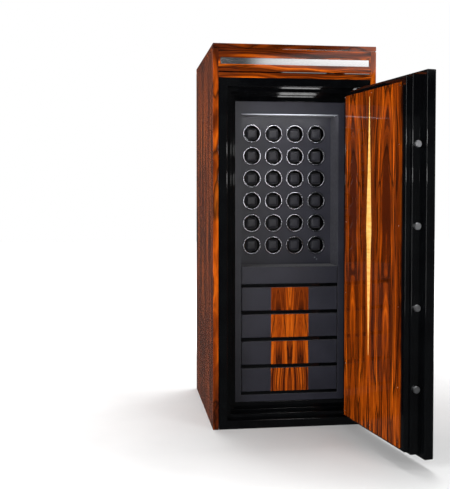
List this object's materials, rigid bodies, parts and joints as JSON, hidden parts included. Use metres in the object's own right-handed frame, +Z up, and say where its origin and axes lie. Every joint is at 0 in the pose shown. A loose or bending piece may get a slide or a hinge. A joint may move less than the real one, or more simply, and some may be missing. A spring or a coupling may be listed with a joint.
{
  "type": "watch winder cabinet",
  "caption": "Wood-clad steel safe with a stepped bolted door, a wall of watch winders behind it and drawers below",
  "frame": {"origin": "middle of the cabinet's base, on the floor", "axes": "+X to the right seen from the front, +Y from front to back, +Z up"},
  "size_m": [0.7196, 1.2685, 1.55],
  "materials": {
    "rosewood": "bookmatched veneer under gloss lacquer",
    "maple": "inlaid veneer under gloss lacquer",
    "black_lacquer": "polished black lacquer on steel",
    "black_lacquer_board": "polished black lacquer on board",
    "body_paint": "satin black paint",
    "black_leather": "fine-grained black leather on board",
    "cushion_leather": "soft black leather",
    "polished_steel": "polished",
    "satin_steel": "satin",
    "black_chrome": "black chrome",
    "black_plastic": "moulded",
    "reader_glass": "gloss",
    "lamp_lens": "clear lens"
  },
  "bodies": {
    "root": {"left_side_panel": "rosewood", "right_side_panel": "rosewood", "top_panel": "rosewood", "front_fascia": "rosewood", "trim_strip": "satin_steel", "door_frame": "black_lacquer", "safe_shell": "body_paint", "power_inlet": "black_plastic", "hinge_brackets": "black_chrome", "face_frame": "black_leather", "fixed_fascia": "black_leather", "winder_panel": "black_leather", "bezel_rings": "polished_steel", "winder_motors": "black_plastic", "bay_lamps": "lamp_lens", "drawer_cabinet": "black_lacquer_board"},
    "door": {"door_slab": "black_lacquer", "door_plug": "black_lacquer", "inner_panel": "rosewood", "spindle_inlay": "maple", "panel_screws": "polished_steel", "hinge_leaves": "black_chrome", "handle_rose": "black_chrome", "reader_ring": "polished_steel", "reader_pad": "reader_glass", "lock_case": "body_paint"},
    "handle": {"lever_handle": "black_chrome"},
    "boltwork": {"lock_bolts": "polished_steel"},
    "drawer_1": {"drawer_1": "black_leather", "drawer_stripe_1": "rosewood"},
    "drawer_2": {"drawer_2": "black_leather", "drawer_stripe_2": "rosewood"},
    "drawer_3": {"drawer_3": "black_leather", "drawer_stripe_3": "rosewood"},
    "drawer_4": {"drawer_4": "black_leather", "drawer_stripe_4": "rosewood"},
    "rotor_r1c1": {"winder_rotor_r1c1": "cushion_leather"},
    "rotor_r1c2": {"winder_rotor_r1c2": "cushion_leather"},
    "rotor_r1c3": {"winder_rotor_r1c3": "cushion_leather"},
    "rotor_r1c4": {"winder_rotor_r1c4": "cushion_leather"},
    "rotor_r2c1": {"winder_rotor_r2c1": "cushion_leather"},
    "rotor_r2c2": {"winder_rotor_r2c2": "cushion_leather"},
    "rotor_r2c3": {"winder_rotor_r2c3": "cushion_leather"},
    "rotor_r2c4": {"winder_rotor_r2c4": "cushion_leather"},
    "rotor_r3c1": {"winder_rotor_r3c1": "cushion_leather"},
    "rotor_r3c2": {"winder_rotor_r3c2": "cushion_leather"},
    "rotor_r3c3": {"winder_rotor_r3c3": "cushion_leather"},
    "rotor_r3c4": {"winder_rotor_r3c4": "cushion_leather"},
    "rotor_r4c1": {"winder_rotor_r4c1": "cushion_leather"},
    "rotor_r4c2": {"winder_rotor_r4c2": "cushion_leather"},
    "rotor_r4c3": {"winder_rotor_r4c3": "cushion_leather"},
    "rotor_r4c4": {"winder_rotor_r4c4": "cushion_leather"},
    "rotor_r5c1": {"winder_rotor_r5c1": "cushion_leather"},
    "rotor_r5c2": {"winder_rotor_r5c2": "cushion_leather"},
    "rotor_r5c3": {"winder_rotor_r5c3": "cushion_leather"},
    "rotor_r5c4": {"winder_rotor_r5c4": "cushion_leather"},
    "rotor_r6c1": {"winder_rotor_r6c1": "cushion_leather"},
    "rotor_r6c2": {"winder_rotor_r6c2": "cushion_leather"},
    "rotor_r6c3": {"winder_rotor_r6c3": "cushion_leather"},
    "rotor_r6c4": {"winder_rotor_r6c4": "cushion_leather"}
  },
  "joints": [
    {"name": "door_hinge", "type": "hinge", "parent": "root", "child": "door", "pos_m": [0.284, -0.371, 0.7], "axis": [0, 0, 1], "range_deg": [-99.3, 20]},
    {"name": "handle_turn", "type": "hinge", "parent": "door", "child": "handle", "pos_m": [0.32371, -0.77438, 0.726], "axis": [-0.9869, -0.1616, 0], "range_deg": [0, 90]},
    {"name": "bolt_throw", "type": "slide", "parent": "door", "child": "boltwork", "axis": [0.1616, -0.9869, 0], "range_m": [0, 0.02]},
    {"name": "drawer_1_slide", "type": "slide", "parent": "root", "child": "drawer_1", "axis": [0, -1, 0], "range_m": [0, 0.18]},
    {"name": "drawer_2_slide", "type": "slide", "parent": "root", "child": "drawer_2", "axis": [0, -1, 0], "range_m": [0, 0.18]},
    {"name": "drawer_3_slide", "type": "slide", "parent": "root", "child": "drawer_3", "axis": [0, -1, 0], "range_m": [0, 0.18]},
    {"name": "drawer_4_slide", "type": "slide", "parent": "root", "child": "drawer_4", "axis": [0, -1, 0], "range_m": [0, 0.18]},
    {"name": "winder_r1c1_spin", "type": "hinge", "parent": "root", "child": "rotor_r1c1", "pos_m": [-0.141, -0.075, 1.208], "axis": [0, 1, 0], "continuous": true},
    {"name": "winder_r1c2_spin", "type": "hinge", "parent": "root", "child": "rotor_r1c2", "pos_m": [-0.047, -0.075, 1.208], "axis": [0, 1, 0], "continuous": true},
    {"name": "winder_r1c3_spin", "type": "hinge", "parent": "root", "child": "rotor_r1c3", "pos_m": [0.047, -0.075, 1.208], "axis": [0, 1, 0], "continuous": true},
    {"name": "winder_r1c4_spin", "type": "hinge", "parent": "root", "child": "rotor_r1c4", "pos_m": [0.141, -0.075, 1.208], "axis": [0, 1, 0], "continuous": true},
    {"name": "winder_r2c1_spin", "type": "hinge", "parent": "root", "child": "rotor_r2c1", "pos_m": [-0.141, -0.075, 1.112], "axis": [0, 1, 0], "continuous": true},
    {"name": "winder_r2c2_spin", "type": "hinge", "parent": "root", "child": "rotor_r2c2", "pos_m": [-0.047, -0.075, 1.112], "axis": [0, 1, 0], "continuous": true},
    {"name": "winder_r2c3_spin", "type": "hinge", "parent": "root", "child": "rotor_r2c3", "pos_m": [0.047, -0.075, 1.112], "axis": [0, 1, 0], "continuous": true},
    {"name": "winder_r2c4_spin", "type": "hinge", "parent": "root", "child": "rotor_r2c4", "pos_m": [0.141, -0.075, 1.112], "axis": [0, 1, 0], "continuous": true},
    {"name": "winder_r3c1_spin", "type": "hinge", "parent": "root", "child": "rotor_r3c1", "pos_m": [-0.141, -0.075, 1.016], "axis": [0, 1, 0], "continuous": true},
    {"name": "winder_r3c2_spin", "type": "hinge", "parent": "root", "child": "rotor_r3c2", "pos_m": [-0.047, -0.075, 1.016], "axis": [0, 1, 0], "continuous": true},
    {"name": "winder_r3c3_spin", "type": "hinge", "parent": "root", "child": "rotor_r3c3", "pos_m": [0.047, -0.075, 1.016], "axis": [0, 1, 0], "continuous": true},
    {"name": "winder_r3c4_spin", "type": "hinge", "parent": "root", "child": "rotor_r3c4", "pos_m": [0.141, -0.075, 1.016], "axis": [0, 1, 0], "continuous": true},
    {"name": "winder_r4c1_spin", "type": "hinge", "parent": "root", "child": "rotor_r4c1", "pos_m": [-0.141, -0.075, 0.92], "axis": [0, 1, 0], "continuous": true},
    {"name": "winder_r4c2_spin", "type": "hinge", "parent": "root", "child": "rotor_r4c2", "pos_m": [-0.047, -0.075, 0.92], "axis": [0, 1, 0], "continuous": true},
    {"name": "winder_r4c3_spin", "type": "hinge", "parent": "root", "child": "rotor_r4c3", "pos_m": [0.047, -0.075, 0.92], "axis": [0, 1, 0], "continuous": true},
    {"name": "winder_r4c4_spin", "type": "hinge", "parent": "root", "child": "rotor_r4c4", "pos_m": [0.141, -0.075, 0.92], "axis": [0, 1, 0], "continuous": true},
    {"name": "winder_r5c1_spin", "type": "hinge", "parent": "root", "child": "rotor_r5c1", "pos_m": [-0.141, -0.075, 0.824], "axis": [0, 1, 0], "continuous": true},
    {"name": "winder_r5c2_spin", "type": "hinge", "parent": "root", "child": "rotor_r5c2", "pos_m": [-0.047, -0.075, 0.824], "axis": [0, 1, 0], "continuous": true},
    {"name": "winder_r5c3_spin", "type": "hinge", "parent": "root", "child": "rotor_r5c3", "pos_m": [0.047, -0.075, 0.824], "axis": [0, 1, 0], "continuous": true},
    {"name": "winder_r5c4_spin", "type": "hinge", "parent": "root", "child": "rotor_r5c4", "pos_m": [0.141, -0.075, 0.824], "axis": [0, 1, 0], "continuous": true},
    {"name": "winder_r6c1_spin", "type": "hinge", "parent": "root", "child": "rotor_r6c1", "pos_m": [-0.141, -0.075, 0.728], "axis": [0, 1, 0], "continuous": true},
    {"name": "winder_r6c2_spin", "type": "hinge", "parent": "root", "child": "rotor_r6c2", "pos_m": [-0.047, -0.075, 0.728], "axis": [0, 1, 0], "continuous": true},
    {"name": "winder_r6c3_spin", "type": "hinge", "parent": "root", "child": "rotor_r6c3", "pos_m": [0.047, -0.075, 0.728], "axis": [0, 1, 0], "continuous": true},
    {"name": "winder_r6c4_spin", "type": "hinge", "parent": "root", "child": "rotor_r6c4", "pos_m": [0.141, -0.075, 0.728], "axis": [0, 1, 0], "continuous": true}
  ],
  "couplings": [
    {"joint": "bolt_throw", "follows": "handle_turn", "m_per_rad": 0.012732},
    {"joint": "winder_r1c2_spin", "follows": "winder_r1c1_spin", "ratio": 1},
    {"joint": "winder_r1c3_spin", "follows": "winder_r1c1_spin", "ratio": 1},
    {"joint": "winder_r1c4_spin", "follows": "winder_r1c1_spin", "ratio": 1},
    {"joint": "winder_r2c2_spin", "follows": "winder_r2c1_spin", "ratio": 1},
    {"joint": "winder_r2c3_spin", "follows": "winder_r2c1_spin", "ratio": 1},
    {"joint": "winder_r2c4_spin", "follows": "winder_r2c1_spin", "ratio": 1},
    {"joint": "winder_r3c2_spin", "follows": "winder_r3c1_spin", "ratio": 1},
    {"joint": "winder_r3c3_spin", "follows": "winder_r3c1_spin", "ratio": 1},
    {"joint": "winder_r3c4_spin", "follows": "winder_r3c1_spin", "ratio": 1},
    {"joint": "winder_r4c2_spin", "follows": "winder_r4c1_spin", "ratio": 1},
    {"joint": "winder_r4c3_spin", "follows": "winder_r4c1_spin", "ratio": 1},
    {"joint": "winder_r4c4_spin", "follows": "winder_r4c1_spin", "ratio": 1},
    {"joint": "winder_r5c2_spin", "follows": "winder_r5c1_spin", "ratio": 1},
    {"joint": "winder_r5c3_spin", "follows": "winder_r5c1_spin", "ratio": 1},
    {"joint": "winder_r5c4_spin", "follows": "winder_r5c1_spin", "ratio": 1},
    {"joint": "winder_r6c2_spin", "follows": "winder_r6c1_spin", "ratio": 1},
    {"joint": "winder_r6c3_spin", "follows": "winder_r6c1_spin", "ratio": 1},
    {"joint": "winder_r6c4_spin", "follows": "winder_r6c1_spin", "ratio": 1}
  ]
}
